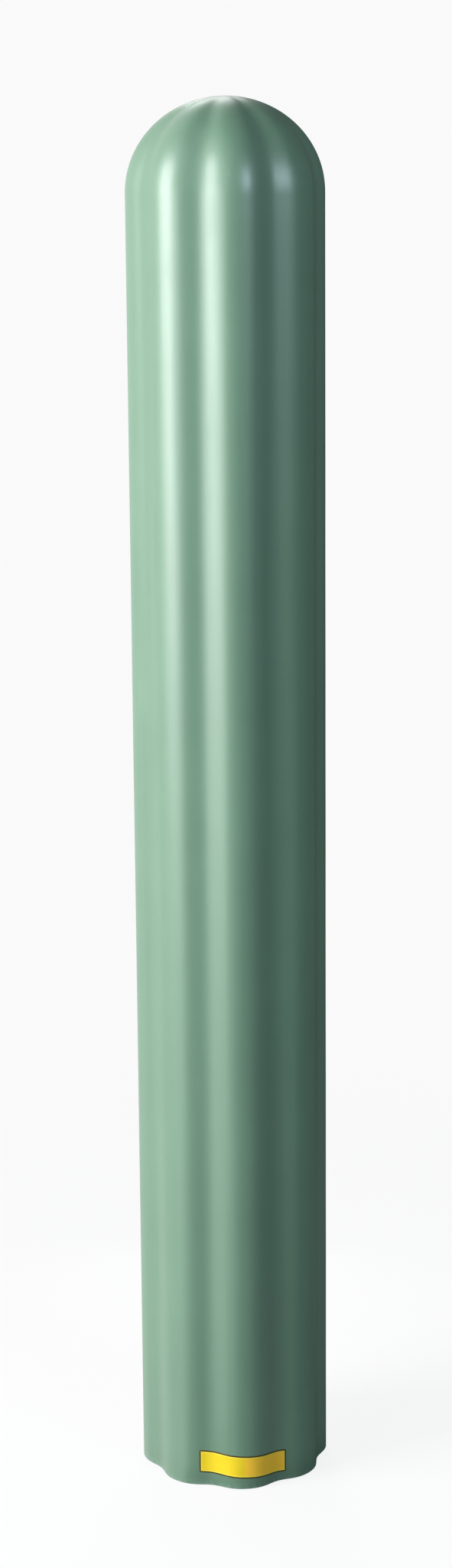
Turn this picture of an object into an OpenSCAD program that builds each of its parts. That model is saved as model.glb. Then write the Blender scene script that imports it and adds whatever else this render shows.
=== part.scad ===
// Fluted, dome-topped cover sleeve that slips over a round steel bollard post.
// Millimetres, +Z up. The origin is the centre of the base rim, and a crest faces the front (-Y).

/* [Post] */
// Outside diameter of the steel post that the sleeve covers
post_d = 168.3; // [100:0.1:260]
// Clearance between the post and the foam strips
post_gap = 0.3; // [0.1:0.1:3]

/* [Sleeve] */
// Height from the base rim to the top of the dome
sleeve_h = 1422; // [800:1:2000]
// Height of the domed top
dome_h = 92.5; // [40:0.5:160]
// Wall thickness of the moulding
wall_t = 3.2; // [1.5:0.1:6]
// Number of flutes around the sleeve
flute_count = 8; // [4:1:12]
// Depth of a flute, from crest to valley
flute_depth = 7.5; // [2:0.1:14]
// Fullness of the crests, as a share of the flute depth; at 0 crests and valleys are alike
crest_fullness_share = 0.07; // [0:0.01:0.12]

/* [Foam strips] */
// Number of strips in each of the two rows
strip_count = 4; // [2:1:4]
// Thickness of a strip
foam_t = 3.2; // [1:0.1:8]
// Width of a strip
foam_w = 25; // [10:1:40]
// Length of a strip
foam_l = 150; // [50:5:350]
// Distance of the lower strips above the base rim, and of the upper ones below the dome
foam_inset = 40; // [10:5:150]
// Thickness of the mounting tape behind a strip
tape_t = 0.2; // [0.1:0.05:0.6]

/* [Label] */
// Length of the label along the wall
label_w = 100; // [40:1:160]
// Height of the label
label_h = 25; // [15:1:60]
// Thickness of the label's film
label_t = 0.3; // [0.1:0.05:0.6]
// Height of the middle of the label's lower edge above the base rim
label_rise = 12; // [8:0.5:60]
// Turn of the label around the sleeve from the front crest, in degrees
label_turn = -1.5; // [-20:0.5:20]
// Tilt of the label as it was stuck on, left end up, in degrees
label_tilt = 2.7; // [0:0.1:4]

/* [Hidden] */
// Flat facets across one flute, an even number so that each crest and each valley is a corner
facets_per_flute = 12;
// Rings of facets from the foot of the dome to its top
dome_rings = 10;

// The fit is worked out from the post outwards
foam_face_r = post_d / 2 + post_gap;
valley_in_r = foam_face_r + foam_t + tape_t;
crest_r = valley_in_r + wall_t + flute_depth;
straight_h = sleeve_h - dome_h;

facet_count = flute_count * facets_per_flute;
facet_a = 360 / facet_count;
corners = [0 : facet_count - 1];

// Angles that the strips and the label take up around the axis
strip_span = foam_w / valley_in_r * 180 / PI;
label_span = 360 * label_w / girth(section(0));

// The lower row of strips stands near the rim, the upper row hangs below the dome
row_names = ["lower", "upper"];
row_z = [foam_inset, straight_h - foam_inset - foam_l];
rows = [0 : len(row_names) - 1];
strips = [1 : strip_count];

function tape_name(row, i) = str("mounting_tape_", row_names[row], "_", i);
function foam_name(row, i) = str("foam_strip_", row_names[row], "_", i);

// Point at a radius and an angle, which is 0 at the front and grows towards +X
function at(r, a) = [r * sin(a), -r * cos(a)];

// Outside radius of the smooth fluted section: a wave with broad crests and narrower valleys
function fluted_r(a) =
    let (wave_a = flute_count * a)
    crest_r - flute_depth * ((1 - cos(wave_a)) / 2 - crest_fullness_share * (1 - cos(2 * wave_a)));

// Corners of the faceted section, set back from the outside by a depth
function section(depth) = [for (k = corners) at(fluted_r(k * facet_a) - depth, k * facet_a)];

// Length round a closed outline
function girth(outline) =
    let (n = len(outline), sides = [for (k = [0 : n - 1]) norm(outline[(k + 1) % n] - outline[k])])
    sides * [for (side = sides) 1];

// Radius of the faceted section at any angle, on the straight chord between two corners
function facet_r(a, depth) =
    let (
        a0 = floor(a / facet_a) * facet_a,
        a1 = a0 + facet_a,
        r0 = fluted_r(a0) - depth,
        r1 = fluted_r(a1) - depth
    )
    r0 * r1 * sin(facet_a) / (r0 * sin(a - a0) + r1 * sin(a1 - a));

// Angles of the two ends of a span and of each corner of the section between them
function span_angles(middle, span) =
    let (a0 = middle - span / 2, a1 = middle + span / 2)
    concat(
        [a0],
        [for (k = [floor(a0 / facet_a) + 1 : ceil(a1 / facet_a) - 1]) k * facet_a],
        [a1]
    );

// Angle of the valley that a strip is stuck behind
function strip_a(i) = (floor((i - 1) * flute_count / strip_count) + 1 / 2) * 360 / flute_count;

// Outline of a strip on the inside of the wall, between two distances from that face
function strip_outline(i, near, far) =
    let (angles = span_angles(strip_a(i), strip_span), last = len(angles) - 1)
    concat(
        [for (k = [0 : last]) at(facet_r(angles[k], wall_t) - near, angles[k])],
        [for (k = [last : -1 : 0]) at(facet_r(angles[k], wall_t) - far, angles[k])]
    );

// One ring of the dome, drawn in from the section and raised as on an ellipse
function dome_ring(k, depth) =
    let (a = 90 * k / dome_rings)
    [for (p = section(depth)) [p.x * cos(a), p.y * cos(a), (dome_h - depth) * sin(a)]];

// Faces that join a ring to the next one
function ring_faces(k) = [for (j = corners)
    let (m = (j + 1) % facet_count, low = k * facet_count, high = low + facet_count)
    [low + j, high + j, high + m, low + m]];

// Faces that close a ring to a single point, seen from above or from below
function tip_faces(k, tip, above) = [for (j = corners)
    let (m = (j + 1) % facet_count, low = k * facet_count)
    above ? [low + j, tip, low + m] : [low + m, tip, low + j]];

// The dome is a shell: its rings run down the inside, across the foot and up the outside
module dome() {
    inside = [for (k = [dome_rings - 1 : -1 : 0]) each dome_ring(k, wall_t)];
    outside = [for (k = [0 : dome_rings - 1]) each dome_ring(k, 0)];
    last_ring = 2 * dome_rings - 1;
    inner_tip = len(inside) + len(outside);
    polyhedron(
        concat(inside, outside, [[0, 0, dome_h - wall_t], [0, 0, dome_h]]),
        concat(
            tip_faces(0, inner_tip, false),
            [for (k = [0 : last_ring - 1]) each ring_faces(k)],
            tip_faces(last_ring, inner_tip + 1, true)
        )
    );
}

// One moulding: a straight fluted wall, sawn off flat at the base, and its dome
module sleeve_shell() {
    color("#4f8f6d") union() {
        linear_extrude(straight_h) difference() {
            polygon(section(0));
            polygon(section(wall_t));
        }
        translate([0, 0, straight_h]) dome();
    }
}

// Blank adhesive label, bent round the front crest and stuck on a little crooked
module label() {
    angles = span_angles(label_turn, label_span);
    // Each column of points goes up the back of the film and down its front
    points = [for (a = angles)
        let (
            back_r = facet_r(a, 0),
            low = label_rise - (a - label_turn) / label_span * label_w * tan(label_tilt),
            high = low + label_h,
            back = at(back_r, a),
            front = at(back_r + label_t, a)
        )
        each [concat(back, low), concat(back, high), concat(front, high), concat(front, low)]];
    end = len(points) - 4;
    sides = [for (c = [0 : 4 : end - 4], j = [0 : 3])
        let (d = c + 4, k = (j + 1) % 4)
        [c + k, c + j, d + j, d + k]];
    ends = [[0, 1, 2, 3], [end + 3, end + 2, end + 1, end]];
    color("#f2d02c") polyhedron(points, concat(sides, ends));
}

// Double-sided tape that holds a foam strip to the wall
module mounting_tape(row, i) {
    color("#e6e2d3") translate([0, 0, row_z[row]]) linear_extrude(foam_l)
        polygon(strip_outline(i, 0, tape_t));
}

// Closed-cell foam strip that centres the sleeve on the post and stops it rattling
module foam_strip(row, i) {
    color("#3b3d40") translate([0, 0, row_z[row]]) linear_extrude(foam_l)
        polygon(strip_outline(i, tape_t, tape_t + foam_t));
}

sleeve_shell();
label();
for (row = rows, i = strips) {
    mounting_tape(row, i);
    foam_strip(row, i);
}
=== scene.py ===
"""Looks of a fluted, dome-topped bollard cover sleeve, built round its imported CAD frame.

Metres, +Z up, with a crest of the sleeve facing the front (-Y). Angles round the axis are 0 at the
front and grow towards +X.
"""
import math

import bpy
from mathutils import Matrix, Vector, noise


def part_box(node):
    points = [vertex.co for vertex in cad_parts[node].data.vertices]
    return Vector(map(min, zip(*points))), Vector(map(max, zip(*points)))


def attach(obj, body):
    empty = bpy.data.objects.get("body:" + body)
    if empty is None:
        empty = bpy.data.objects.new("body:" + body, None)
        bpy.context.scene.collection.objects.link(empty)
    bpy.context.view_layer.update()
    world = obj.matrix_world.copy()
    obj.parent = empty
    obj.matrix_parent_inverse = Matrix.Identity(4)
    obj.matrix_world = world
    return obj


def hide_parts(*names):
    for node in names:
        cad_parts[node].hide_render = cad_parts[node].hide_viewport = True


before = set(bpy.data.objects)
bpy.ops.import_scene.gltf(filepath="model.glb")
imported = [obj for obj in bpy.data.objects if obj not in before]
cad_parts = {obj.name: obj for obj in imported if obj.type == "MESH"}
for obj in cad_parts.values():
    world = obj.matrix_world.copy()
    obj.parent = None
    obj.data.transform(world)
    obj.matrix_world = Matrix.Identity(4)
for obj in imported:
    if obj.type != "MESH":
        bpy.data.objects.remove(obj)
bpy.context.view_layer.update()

MM = 0.001
TURN = 2 * math.pi

# Sizes that the CAD source also has
FLUTES = 8
FLUTE_DEPTH = 7.5 * MM
CREST_FULLNESS = 0.07
WALL = 3.2 * MM
DOME_H = 92.5 * MM
STRIP_ROWS = ("lower", "upper")
STRIPS_PER_ROW = 4
STRIP_W = 25 * MM
TAPE_T = 0.2 * MM
FOAM_T = 3.2 * MM
LABEL_W = 100 * MM
LABEL_H = 25 * MM
LABEL_T = 0.3 * MM
LABEL_RISE = 12 * MM
LABEL_TURN = math.radians(-1.5)
LABEL_TILT = math.radians(2.7)

shell_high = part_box("sleeve_shell")[1]
CREST_R = shell_high.x
SLEEVE_H = shell_high.z
STRAIGHT_H = SLEEVE_H - DOME_H

# Small forms that the CAD solids leave out
RIM_EDGE = 0.7 * MM
TAPE_EDGE = 0.1 * MM
FOAM_EDGE = 1.2 * MM
FOAM_CROWN = 0.06
LABEL_CORNER = 1.6 * MM
LABEL_EDGE = 0.25 * MM
LABEL_LIFT = 0.02 * MM

# Slow unevenness of the moulding: its height, how fast it changes per metre along x, y and z, and how
# far above the rim it sets in
BROAD_WAVE = 0.10 * MM
BROAD_RATE = (7.0, 7.0, 7.0)
DRAWN_WAVE = 0.06 * MM
DRAWN_RATE = (22.0, 22.0, 2.2)
EVEN_RIM_H = 20 * MM

# Fineness of the meshes
STEPS_PER_FLUTE = 28
WALL_ROWS = 48
DOME_RINGS = 30
STRIP_STEPS = (14, 36)
LABEL_STEPS = (72, 20)
GIRTH_STEPS = 720
FLAG_STEPS = 36
# The broken edge of the rim, as shares of its width in depth and in height
RIM_SHARES = ((1.0, 0.0), (0.62, 0.03), (0.3, 0.12), (0.1, 0.32), (0.0, 0.7))
# Places across a rounded edge, as shares of its width
EDGE_SHARES = (0.0, 0.06, 0.2, 0.42, 0.7, 1.0)

# The photograph's camera
IMAGE_H = 2048
FOCAL_PX = 4029.6
SENSOR = 36
CAMERA_AWAY = 3069.6 * MM
CAMERA_UP = 1459.3 * MM
CAMERA_TURN = math.radians(-7.309)
CAMERA_PITCH = math.radians(13.277)
CAMERA_YAW = math.radians(0.0735)
CAMERA_ROLL = math.radians(-0.454)

# The level of white that the floor and the room show
BACKGROUND = 0.95
# The floor's paint as seen round the object, where it fades out, the paint that throws light back, and
# how far the floor reaches
FLOOR_PAINT = 0.1
FLOOR_FADE = (0.5, 1.5)
FLOOR_BOUNCE = 0.15
FLOOR_REACH = 30.0
# The room's light from the front and from behind, and the cosines of the angle from straight behind that
# it changes between
WORLD_FRONT = 0.08
WORLD_BACK = 0.72
WORLD_SPREAD = (-0.2, 1.0)
# The floor's flag starts under the sleeve's wall and lies just above the floor
FLAG_FOOT_R = 89.5 * MM
FLAG_LIFT = 0.5 * MM
SIDE_FLAG_AWAY = 5.0
SIDE_FLAG_FOOT = 1 * MM
SIDE_FLAG_H = 16.0
TOP_FLAG_R = 2.6
TOP_FLAG_H = 6.0
VELVET = 0.1
WHITE_LIGHT = (1.0, 1.0, 1.0)
COOL_LIGHT = (0.70, 0.85, 1.0)


def smoothstep(x):
    x = min(max(x, 0.0), 1.0)
    return x * x * (3 - 2 * x)


# The fluted wall

def fluted_r(angle):
    """Outside radius of the sleeve: a wave with broad crests and narrower valleys."""
    wave = FLUTES * angle
    return CREST_R - FLUTE_DEPTH * ((1 - math.cos(wave)) / 2 - CREST_FULLNESS * (1 - math.cos(2 * wave)))


def wall_point(angle, depth, z, shrink=1.0):
    """Point at a depth behind the outside of the wall, drawn in towards the axis by shrink."""
    r = (fluted_r(angle) - depth) * shrink
    return Vector((r * math.sin(angle), -r * math.cos(angle), z))


def outside_girth():
    angles = [TURN * k / GIRTH_STEPS for k in range(GIRTH_STEPS + 1)]
    points = [wall_point(a, 0, 0) for a in angles]
    return sum((b - a).length for a, b in zip(points, points[1:]))


def waviness(point):
    """Slow unevenness of the moulded wall, along the radius."""
    def wave(rate):
        return noise.noise(Vector([place * along for place, along in zip(point, rate)]))

    fade = smoothstep(point.z / EVEN_RIM_H) * smoothstep((SLEEVE_H - point.z) / DOME_H)
    return fade * (BROAD_WAVE * wave(BROAD_RATE) + DRAWN_WAVE * wave(DRAWN_RATE))


# Meshes

def link_mesh(name, points, faces, material):
    """A mesh object with one material, linked to the scene."""
    mesh = bpy.data.meshes.new(name)
    mesh.from_pydata([tuple(p) for p in points], [], faces)
    mesh.validate()
    mesh.materials.append(material)
    made = bpy.data.objects.new(name, mesh)
    bpy.context.scene.collection.objects.link(made)
    return made


def make_piece(name, points, faces, material, node):
    """A smooth-shaded piece that rides on the body and stands for one CAD node."""
    piece = link_mesh(name, points, faces, material)
    piece.data.shade_smooth()
    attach(piece, "root")
    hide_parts(node)
    return piece


def dome_profile(depth):
    """Steps (depth, shrink, z) up the dome from its foot, without the point at its top."""
    rise = DOME_H - depth
    turns = [math.pi / 2 * k / DOME_RINGS for k in range(DOME_RINGS)]
    return [(depth, math.cos(t), STRAIGHT_H + rise * math.sin(t)) for t in turns]


def shell_profile():
    """Steps (depth, shrink, z) from the inside of the dome's top, round the rim, to the outside of it."""
    inside = dome_profile(WALL)[:0:-1]
    inside += [(WALL, 1.0, STRAIGHT_H * k / WALL_ROWS) for k in range(WALL_ROWS, 0, -1)]
    inside += [(WALL - RIM_EDGE * d, 1.0, RIM_EDGE * h) for d, h in RIM_SHARES[::-1]]
    outside = [(RIM_EDGE * d, 1.0, RIM_EDGE * h) for d, h in RIM_SHARES]
    outside += [(0.0, 1.0, STRAIGHT_H * k / WALL_ROWS) for k in range(1, WALL_ROWS)]
    return inside + outside + dome_profile(0.0)


def make_shell(material):
    """The wall and the dome, inside and outside, as one closed skin."""
    around = FLUTES * STEPS_PER_FLUTE
    angles = [TURN * k / around for k in range(around)]
    profile = shell_profile()
    points = []
    for depth, shrink, z in profile:
        for angle in angles:
            point = wall_point(angle, depth, z, shrink)
            outwards = Vector((point.x, point.y, 0)).normalized()
            points.append(point + outwards * waviness(point))
    inner_tip, outer_tip = len(points), len(points) + 1
    points += [Vector((0, 0, SLEEVE_H - WALL)), Vector((0, 0, SLEEVE_H))]

    faces = []
    last = (len(profile) - 1) * around
    for low in range(0, last, around):
        high = low + around
        for k in range(around):
            m = (k + 1) % around
            faces.append((low + k, low + m, high + m, high + k))
    for k in range(around):
        m = (k + 1) % around
        faces.append((k, inner_tip, m))
        faces.append((last + m, outer_tip, last + k))
    return make_piece("sleeve_shell_skin", points, faces, material, "sleeve_shell")


def edge_spread(half, edge, steps):
    """Places from -half to half, close together within edge of each end."""
    low = [-half + edge * share for share in EDGE_SHARES]
    inner = [(-1 + 2 * k / steps) * (half - edge) for k in range(1, steps)]
    return low + inner + [-x for x in low[::-1]]


def round_over(gap, edge):
    """Share of the full thickness at a distance from a rounded edge."""
    if gap >= edge:
        return 1.0
    x = 1 - max(gap, 0.0) / edge
    return math.sqrt(max(0.0, 1 - x * x))


def sheet_mesh(columns, rows, front, back):
    """Closed sheet over a grid of columns and rows; front and back give a point for each of them."""
    n, m = len(columns), len(rows)
    points = [front(u, v) for u in columns for v in rows]
    # The back shares the border of the front and has points of its own inside it
    behind = {}
    for i in range(n):
        for j in range(m):
            if i in (0, n - 1) or j in (0, m - 1):
                behind[i, j] = i * m + j
            else:
                behind[i, j] = len(points)
                points.append(back(columns[i], rows[j]))
    corners = {0, m - 1, (n - 1) * m, n * m - 1}
    faces = []

    def add_cell(*cell):
        # A cell at a corner is cut from that corner, so that front and back share no triangle
        tips = [k for k in range(len(cell)) if cell[k] in corners]
        if tips:
            a, b, c, d = cell[tips[0]:] + cell[:tips[0]]
            faces.extend([(a, b, c), (a, c, d)])
        else:
            faces.append(cell)

    for i in range(n - 1):
        for j in range(m - 1):
            add_cell(i * m + j, i * m + j + 1, (i + 1) * m + j + 1, (i + 1) * m + j)
            add_cell(behind[i, j], behind[i + 1, j], behind[i + 1, j + 1], behind[i, j + 1])
    return points, faces


def make_strip(name, node, material, angle, near, thick, edge, crown=0.0):
    """Strip on the inside of the wall at an angle, from near to near + thick behind its inner face."""
    low, high = (corner.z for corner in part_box(node))
    middle, half_l, half_w = (low + high) / 2, (high - low) / 2, STRIP_W / 2
    face_r = fluted_r(angle) - WALL

    def depth_at(u, v):
        full = round_over(half_w - abs(u), edge) * round_over(half_l - abs(v), edge)
        swell = 1 - crown * (abs(u) / half_w) ** 3
        return thick * full * swell

    def point(u, v, depth):
        return wall_point(angle + u / face_r, WALL + near + depth, middle + v)

    points, faces = sheet_mesh(
        edge_spread(half_w, edge, STRIP_STEPS[0]),
        edge_spread(half_l, edge, STRIP_STEPS[1]),
        front=lambda u, v: point(u, v, depth_at(u, v)),
        back=lambda u, v: point(u, v, 0),
    )
    return make_piece(name, points, faces, material, node)


def make_strips(tape, foam):
    """Rows of foam strips on the inside of every second valley, each on its tape."""
    for row in STRIP_ROWS:
        for i in range(1, STRIPS_PER_ROW + 1):
            angle = TURN * ((i - 1) * (FLUTES // STRIPS_PER_ROW) + 0.5) / FLUTES
            tail = f"{row}_{i}"
            make_strip(
                f"tape_{tail}", f"mounting_tape_{tail}", tape, angle,
                near=0.0, thick=TAPE_T, edge=TAPE_EDGE)
            pad = make_strip(
                f"foam_{tail}", f"foam_strip_{tail}", foam, angle,
                near=TAPE_T, thick=FOAM_T, edge=FOAM_EDGE, crown=FOAM_CROWN)


def make_label(material):
    """Blank film bent round the front crest, a little crooked, with rounded corners."""
    span = TURN * LABEL_W / outside_girth()
    half_w, half_h = LABEL_W / 2, LABEL_H / 2
    # Columns are in metres from the film's middle, rows in shares of its half height
    columns = edge_spread(half_w, LABEL_CORNER, LABEL_STEPS[0])
    rows = edge_spread(1.0, LABEL_EDGE / half_h, LABEL_STEPS[1])

    def place(u, v, out):
        # Near an end the rows draw together round the corner
        gap = half_w - abs(u)
        reach = half_h - LABEL_CORNER * (1 - round_over(gap, LABEL_CORNER))
        angle = LABEL_TURN + u / LABEL_W * span
        z = LABEL_RISE + half_h + v * reach - u * math.tan(LABEL_TILT)
        return wall_point(angle, -out, z)

    def front(u, v):
        gap = min(half_w - abs(u), (1 - abs(v)) * half_h)
        return place(u, v, LABEL_LIFT + (LABEL_T - LABEL_LIFT) * round_over(gap, LABEL_EDGE))

    points, faces = sheet_mesh(columns, rows, front, back=lambda u, v: place(u, v, LABEL_LIFT))
    # The film faces outwards, so it is wound the other way round from a strip, which faces the axis
    piece = make_piece("label_film", points, [f[::-1] for f in faces], material, "label")

    # Flat map of the film, from 0 to 1 along and across it, with the points in the mesh's order
    flat = [(u, v) for u in columns for v in rows]
    flat += [(u, v) for u in columns[1:-1] for v in rows[1:-1]]
    layer = piece.data.uv_layers.new(name="film")
    for loop in piece.data.loops:
        u, v = flat[loop.vertex_index]
        layer.data[loop.index].uv = (u / LABEL_W + 0.5, v / 2 + 0.5)
    return piece


# Materials

def empty_material(name):
    material = bpy.data.materials.new(name)
    material.use_nodes = True
    material.node_tree.nodes.clear()
    return material, material.node_tree


def show_surface(tree, shader):
    output = tree.nodes.new("ShaderNodeOutputMaterial")
    tree.links.new(shader.outputs[0], output.inputs["Surface"])


def principled_material(name):
    material, tree = empty_material(name)
    shader = tree.nodes.new("ShaderNodeBsdfPrincipled")
    show_surface(tree, shader)
    return material, tree, shader


def add_node(tree, kind, inputs=None, **settings):
    """A new node; inputs holds values for its sockets, or the sockets that feed them."""
    made = tree.nodes.new(kind)
    for key, value in settings.items():
        setattr(made, key, value)
    for key, value in (inputs or {}).items():
        if isinstance(value, bpy.types.NodeSocket):
            tree.links.new(value, made.inputs[key])
        else:
            made.inputs[key].default_value = value
    return made


def object_place(tree, stretch=(1, 1, 1)):
    """Position on the object in metres, multiplied along each axis."""
    place = add_node(tree, "ShaderNodeTexCoord").outputs["Object"]
    if stretch == (1, 1, 1):
        return place
    return add_node(tree, "ShaderNodeMapping", {"Vector": place, "Scale": stretch}).outputs["Vector"]


def speckle(tree, scale, detail=2.0, stretch=(1, 1, 1)):
    """Noise between 0 and 1, in patches about 1 / scale metres wide where it isn't stretched."""
    inputs = {"Vector": object_place(tree, stretch), "Scale": scale, "Detail": detail}
    return add_node(tree, "ShaderNodeTexNoise", inputs).outputs["Fac"]


def remap(tree, value, source, target=(0.0, 1.0), interpolation="LINEAR"):
    """Value carried from the source range to the target range, and held at its ends."""
    inputs = {
        "Value": value,
        "From Min": source[0], "From Max": source[1],
        "To Min": target[0], "To Max": target[1],
    }
    made = add_node(tree, "ShaderNodeMapRange", inputs, interpolation_type=interpolation)
    return made.outputs["Result"]


# A Mix node has sockets of its own for each kind of data: 2 and 3 are numbers, 6 and 7 colours

def blend_value(tree, share, first, second):
    inputs = {0: share, 2: first, 3: second}
    return add_node(tree, "ShaderNodeMix", inputs, data_type="FLOAT").outputs[0]


def blend_colour(tree, share, first, second):
    inputs = {0: share, 6: first, 7: second}
    return add_node(tree, "ShaderNodeMix", inputs, data_type="RGBA").outputs[2]


def combine(tree, operation, first, second):
    return add_node(tree, "ShaderNodeMath", {0: first, 1: second}, operation=operation).outputs[0]


def multiply(tree, first, second):
    return combine(tree, "MULTIPLY", first, second)


def add_bumps(tree, shader, *layers):
    """Bump layers (height, distance) one over the other."""
    normal = None
    for height, distance in layers:
        inputs = {"Height": height, "Distance": distance, "Strength": 1.0}
        if normal is not None:
            inputs["Normal"] = normal
        normal = add_node(tree, "ShaderNodeBump", inputs).outputs["Normal"]
    tree.links.new(normal, shader.inputs["Normal"])


def grey(value):
    return (value, value, value, 1.0)


def sleeve_material():
    """Moulded polyethylene, pigmented through, with flow lines, light handling marks and a sawn rim."""
    deep_green, pale_green = (0.115, 0.211, 0.143, 1), (0.127, 0.231, 0.157, 1)
    flow_green, fleck_green = (0.133, 0.239, 0.165, 1), (0.19, 0.34, 0.24, 1)
    scratch_green, rubbed_green = (0.2, 0.3, 0.235, 1), (0.21, 0.32, 0.25, 1)
    sawn_green, sawn_roughness = (0.16, 0.24, 0.19, 1), 0.75

    material, tree, shader = principled_material("moulded_green_plastic")
    height = add_node(tree, "ShaderNodeSeparateXYZ", {"Vector": object_place(tree)}).outputs["Z"]

    # Pigment: slow clouds, faint lines along the flow of the moulding, and fine flecks
    cloud = remap(tree, speckle(tree, scale=9.0, detail=3.0), (0.3, 0.7))
    colour = blend_colour(tree, cloud, deep_green, pale_green)
    flow = speckle(tree, scale=90.0, detail=4.0, stretch=(1, 1, 0.02))
    colour = blend_colour(tree, remap(tree, flow, (0.45, 0.75), (0.0, 0.6)), colour, flow_green)
    fleck = speckle(tree, scale=1400.0, detail=1.0)
    colour = blend_colour(tree, remap(tree, fleck, (0.62, 0.8), (0.0, 0.25)), colour, fleck_green)

    # Handling marks: fine scratches in a few patches, and rubbing just above the rim
    scratch = remap(tree, speckle(tree, scale=1100.0, detail=3.0, stretch=(1, 1, 0.015)), (0.64, 0.70))
    patch = remap(tree, speckle(tree, scale=16.0), (0.52, 0.66))
    scratched = multiply(tree, scratch, patch)
    colour = blend_colour(tree, multiply(tree, scratched, 0.35), colour, scratch_green)
    near_rim = remap(tree, height, (0.0, 7 * MM), (0.7, 0.0))
    rubbing = remap(tree, speckle(tree, scale=260.0, detail=4.0), (0.4, 0.62))
    rubbed_rim = multiply(tree, near_rim, rubbing)
    colour = blend_colour(tree, rubbed_rim, colour, rubbed_green)
    sawn = remap(tree, height, (0.3 * MM, 1.2 * MM), (1.0, 0.0))
    colour = blend_colour(tree, sawn, colour, sawn_green)
    tree.links.new(colour, shader.inputs["Base Color"])

    # Roughness: lines along the flow, dull patches, and the marks
    drawn = speckle(tree, scale=130.0, detail=3.0, stretch=(1, 1, 0.03))
    drawn = remap(tree, drawn, (0.3, 0.7), (0.37, 0.42))
    dulled = remap(tree, speckle(tree, scale=14.0, detail=4.0), (0.58, 0.75), (0.0, 0.05))
    marks = multiply(tree, combine(tree, "MAXIMUM", scratched, rubbed_rim), 0.12)
    rough = combine(tree, "ADD", combine(tree, "ADD", drawn, dulled), marks)
    tree.links.new(blend_value(tree, sawn, rough, sawn_roughness), shader.inputs["Roughness"])

    add_bumps(
        tree, shader,
        (speckle(tree, scale=160.0), 0.012 * MM),
        (speckle(tree, scale=1500.0), 0.012 * MM),
        (multiply(tree, scratched, -1.0), 0.01 * MM),
        (multiply(tree, sawn, speckle(tree, scale=900.0, detail=3.0)), 0.2 * MM),
    )
    # Above polyethylene's own, so that reflections are as strong as in the photograph
    shader.inputs["IOR"].default_value = 1.68
    return material


def film_material():
    """Blank printed film, its halves yellow and amber, pale margin and dark border; the amber half carries
    painted light against its shade.
    """
    yellows = ((0.74, 0.55, 0.015, 1), (0.79, 0.60, 0.022, 1))
    # Amber print for the right half, its red painted lighter as painted light against the shade that falls
    # there
    ambers_lit_against_shade = ((0.92, 0.53, 0.03, 1), (0.95, 0.58, 0.04, 1))
    margin_yellow, border_brown = (0.84, 0.66, 0.06, 1), (0.06, 0.04, 0.01, 1)

    material, tree, shader = principled_material("yellow_film")
    flat = add_node(tree, "ShaderNodeUVMap", uv_map="film").outputs["UV"]
    parts = add_node(tree, "ShaderNodeSeparateXYZ", {"Vector": flat}).outputs

    def gap(axis, length):
        """Distance in metres from the nearer end of the film along an axis of its map."""
        from_middle = combine(tree, "ABSOLUTE", combine(tree, "SUBTRACT", parts[axis], 0.5), 0.0)
        return multiply(tree, combine(tree, "SUBTRACT", 0.5, from_middle), length)

    edge_gap = combine(tree, "MINIMUM", gap("X", LABEL_W), gap("Y", LABEL_H))
    tint = remap(tree, speckle(tree, scale=60.0, detail=3.0), (0.3, 0.7))
    # The right half is amber print with painted light that makes up for its shade
    half = remap(tree, parts["X"], (0.495, 0.505))
    colour = blend_colour(tree, half, blend_colour(tree, tint, *yellows), blend_colour(tree, tint, *ambers_lit_against_shade))
    margin = remap(tree, edge_gap, (2.2 * MM, 3.4 * MM), (1.0, 0.0))
    colour = blend_colour(tree, margin, colour, margin_yellow)
    border = remap(tree, edge_gap, (1.4 * MM, 1.6 * MM), (1.0, 0.0))
    colour = blend_colour(tree, border, colour, border_brown)
    tree.links.new(colour, shader.inputs["Base Color"])

    rough = remap(tree, speckle(tree, scale=220.0, detail=3.0), (0.3, 0.7), (0.3, 0.4))
    tree.links.new(rough, shader.inputs["Roughness"])
    ripples, grain = speckle(tree, scale=90.0), speckle(tree, scale=2200.0, detail=1.0)
    add_bumps(tree, shader, (ripples, 0.08 * MM), (grain, 0.01 * MM))
    return material


def tape_material():
    """Cream double-sided tape with a woven scrim."""
    gap_cream, thread_cream = (0.72, 0.68, 0.56, 1), (0.82, 0.79, 0.69, 1)

    material, tree, shader = principled_material("cream_tape")
    threads = [
        remap(tree, speckle(tree, scale=1500.0, detail=1.0, stretch=stretch), (0.3, 0.7))
        for stretch in ((1, 1, 0.05), (0.05, 0.05, 1))
    ]
    weave = multiply(tree, *threads)
    tree.links.new(blend_colour(tree, weave, gap_cream, thread_cream), shader.inputs["Base Color"])
    tree.links.new(remap(tree, weave, (0.0, 1.0), (0.6, 0.45)), shader.inputs["Roughness"])
    add_bumps(tree, shader, (weave, 0.06 * MM))
    return material


def foam_material():
    """Dark closed-cell foam with fine open cells at its cut faces."""
    pore_black, wall_black = (0.012, 0.012, 0.013, 1), (0.05, 0.051, 0.054, 1)
    dusty_black = (0.065, 0.066, 0.07, 1)

    material, tree, shader = principled_material("closed_cell_foam")
    cells = add_node(tree, "ShaderNodeTexVoronoi", {"Vector": object_place(tree), "Scale": 1300.0})
    pores = remap(tree, cells.outputs["Distance"], (0.15, 0.6))
    cloud = speckle(tree, scale=70.0, detail=3.0)
    colour = blend_colour(tree, pores, pore_black, wall_black)
    colour = blend_colour(tree, remap(tree, cloud, (0.4, 0.8), (0.0, 0.5)), colour, dusty_black)
    tree.links.new(colour, shader.inputs["Base Color"])
    tree.links.new(remap(tree, pores, (0.0, 1.0), (1.0, 0.82)), shader.inputs["Roughness"])
    add_bumps(tree, shader, (cloud, 0.4 * MM), (pores, 0.3 * MM))
    return material


# The stage

def camera_point(azimuth, away, z):
    """Point at an azimuth from the camera's own, positive towards the right of the picture."""
    angle = CAMERA_TURN + math.radians(azimuth)
    return Vector((away * math.sin(angle), -away * math.cos(angle), z))


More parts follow.
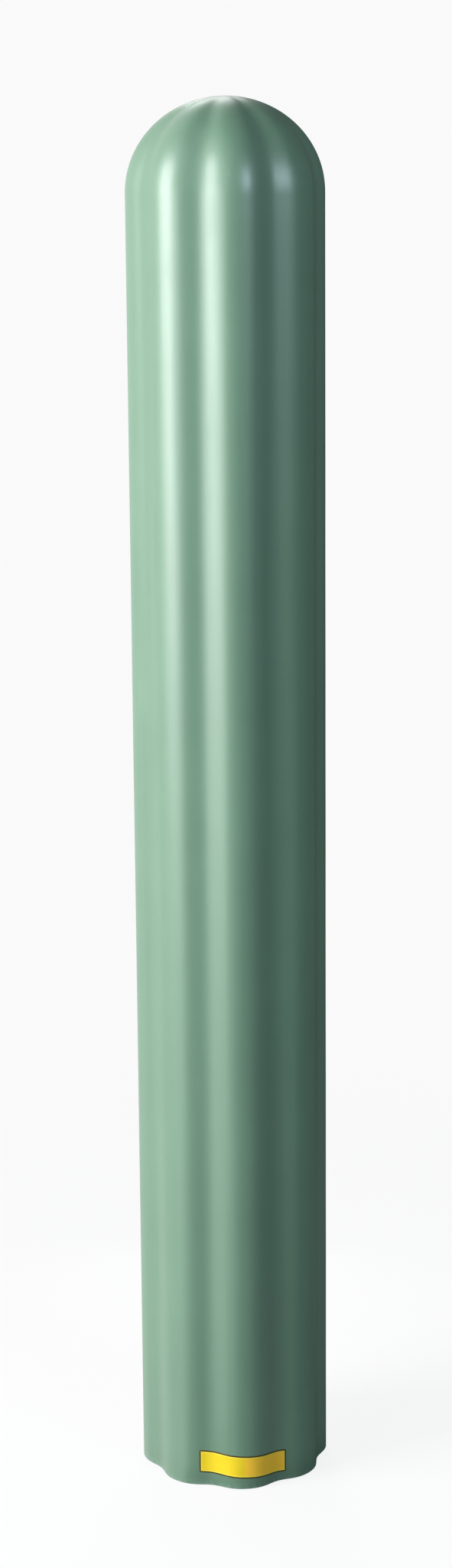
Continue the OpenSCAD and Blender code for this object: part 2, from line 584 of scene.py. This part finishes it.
def make_camera():
    data = bpy.data.cameras.new("camera")
    data.sensor_fit = "VERTICAL"
    data.sensor_height = SENSOR
    data.lens = FOCAL_PX / IMAGE_H * SENSOR
    camera = bpy.data.objects.new("camera", data)
    camera.matrix_world = (
        Matrix.Translation(camera_point(0, CAMERA_AWAY, CAMERA_UP))
        @ Matrix.Rotation(CAMERA_TURN, 4, "Z")
        @ Matrix.Rotation(math.pi / 2 - CAMERA_PITCH, 4, "X")
        @ Matrix.Rotation(CAMERA_YAW, 4, "Y")
        @ Matrix.Rotation(CAMERA_ROLL, 4, "Z")
    )
    bpy.context.scene.collection.objects.link(camera)
    bpy.context.scene.camera = camera


def make_lamp(name, azimuth, away, z, size, power, aim_z, colour=WHITE_LIGHT):
    """Rectangular soft box at an azimuth from the camera, aimed at a height on the axis."""
    data = bpy.data.lights.new(name, "AREA")
    data.shape = "RECTANGLE"
    data.size, data.size_y = size
    data.energy = power
    data.color = colour
    lamp = bpy.data.objects.new(name, data)
    lamp.location = camera_point(azimuth, away, z)
    aim = Vector((0, 0, aim_z)) - lamp.location
    lamp.rotation_euler = aim.to_track_quat("-Z", "Y").to_euler()
    lamp.visible_camera = False
    bpy.context.scene.collection.objects.link(lamp)


def make_lamps():
    make_lamp("key", azimuth=-67.0, away=2.8, z=1.85, size=(1.53, 2.4), power=150, aim_z=0.8)
    make_lamp("fill", azimuth=-49.7, away=3.6, z=0.9, size=(2.72, 1.5), power=71, aim_z=0.8)
    make_lamp(
        "right", azimuth=37.5, away=3.4, z=2.35, size=(1.3, 1.3), power=62, aim_z=1.0, colour=COOL_LIGHT)
    make_lamp("back", azimuth=-174.7, away=3.5, z=3.39, size=(1.19, 0.80), power=20, aim_z=1.3)
    make_lamp("rear", azimuth=180.0, away=0.6, z=0.72, size=(0.18, 1.25), power=1.8, aim_z=0.72)


def seen_rays(tree):
    """1 for rays from the camera and for mirrored and transmitted ones, 0 for the rest."""
    path = add_node(tree, "ShaderNodeLightPath").outputs
    seen = combine(tree, "MAXIMUM", path["Is Camera Ray"], path["Is Glossy Ray"])
    return combine(tree, "MAXIMUM", seen, path["Is Transmission Ray"])


def make_stage_piece(name, points, faces, material):
    piece = link_mesh(name, points, faces, material)
    return piece


def floor_material():
    """Matt pale floor of an even brightness, with paint that keeps the shadow round the object."""
    material, tree = empty_material("pale_floor")
    seen = seen_rays(tree)
    away = add_node(tree, "ShaderNodeVectorMath", {0: object_place(tree)}, operation="LENGTH")
    near = remap(tree, away.outputs["Value"], FLOOR_FADE, (FLOOR_PAINT, 0.0), "SMOOTHSTEP")
    paint = add_node(tree, "ShaderNodeBsdfDiffuse", {"Color": blend_value(tree, seen, FLOOR_BOUNCE, near)})
    # The paint shows about its own value in this light, and the glow makes up the rest
    level = multiply(tree, seen, combine(tree, "SUBTRACT", BACKGROUND, near))
    glow = add_node(tree, "ShaderNodeEmission", {"Color": grey(1.0), "Strength": level})
    both = add_node(tree, "ShaderNodeAddShader", {0: paint.outputs[0], 1: glow.outputs[0]})
    show_surface(tree, both)
    return material


def make_floor():
    side = FLOOR_REACH
    corners = [(-side, -side, 0), (side, -side, 0), (side, side, 0), (-side, side, 0)]
    make_stage_piece("floor", corners, [(0, 1, 2, 3)], floor_material())


def velvet_material():
    """Black velvet of the studio's flags."""
    material, tree = empty_material("black_velvet")
    show_surface(tree, add_node(tree, "ShaderNodeBsdfDiffuse", {"Color": grey(VELVET)}))
    return material


def make_flag(name, azimuths, low, high, material):
    """Black flag swept round the axis from low to high, each (away, z); only reflections show it."""
    first, last = azimuths
    points, faces = [], []
    for k in range(FLAG_STEPS + 1):
        azimuth = first + (last - first) * k / FLAG_STEPS
        points += [camera_point(azimuth, *low), camera_point(azimuth, *high)]
        if k:
            faces.append((2 * k - 2, 2 * k - 1, 2 * k + 1, 2 * k))
    flag = make_stage_piece(name, points, faces, material)
    flag.visible_camera = False
    flag.visible_diffuse = False
    flag.visible_transmission = False
    flag.visible_shadow = False


def make_flags():
    """Dark floor and side that the right of the sleeve mirrors, and a dark ceiling over it."""
    velvet = velvet_material()
    make_flag(
        "floor_flag", azimuths=(-35, 175),
        low=(FLAG_FOOT_R, FLAG_LIFT), high=(FLOOR_REACH, FLAG_LIFT), material=velvet)
    make_flag(
        "side_flag", azimuths=(-8, 175),
        low=(SIDE_FLAG_AWAY, SIDE_FLAG_FOOT), high=(SIDE_FLAG_AWAY, SIDE_FLAG_H), material=velvet)
    make_flag(
        "top_flag", azimuths=(0, 360),
        low=(TOP_FLAG_R, TOP_FLAG_H), high=(0.0, TOP_FLAG_H), material=velvet)


def make_world():
    """Room as pale as the floor to the eye; its own soft light comes mostly from behind the object."""
    world = bpy.data.worlds.new("studio")
    world.use_nodes = True
    tree = world.node_tree
    direction = add_node(tree, "ShaderNodeTexCoord").outputs["Generated"]
    to_back = camera_point(180, 1.0, 0.0)
    backward = add_node(tree, "ShaderNodeVectorMath", {0: direction, 1: to_back}, operation="DOT_PRODUCT")
    light = remap(tree, backward.outputs["Value"], WORLD_SPREAD, (WORLD_FRONT, WORLD_BACK))
    room = tree.nodes["Background"]
    room.inputs["Color"].default_value = grey(1.0)
    tree.links.new(blend_value(tree, seen_rays(tree), light, BACKGROUND), room.inputs["Strength"])
    bpy.context.scene.world = world


make_camera()
make_shell(sleeve_material())
make_label(film_material())
make_strips(tape_material(), foam_material())
make_floor()
make_world()
make_flags()
make_lamps()

bpy.context.scene.view_settings.view_transform = "Standard"
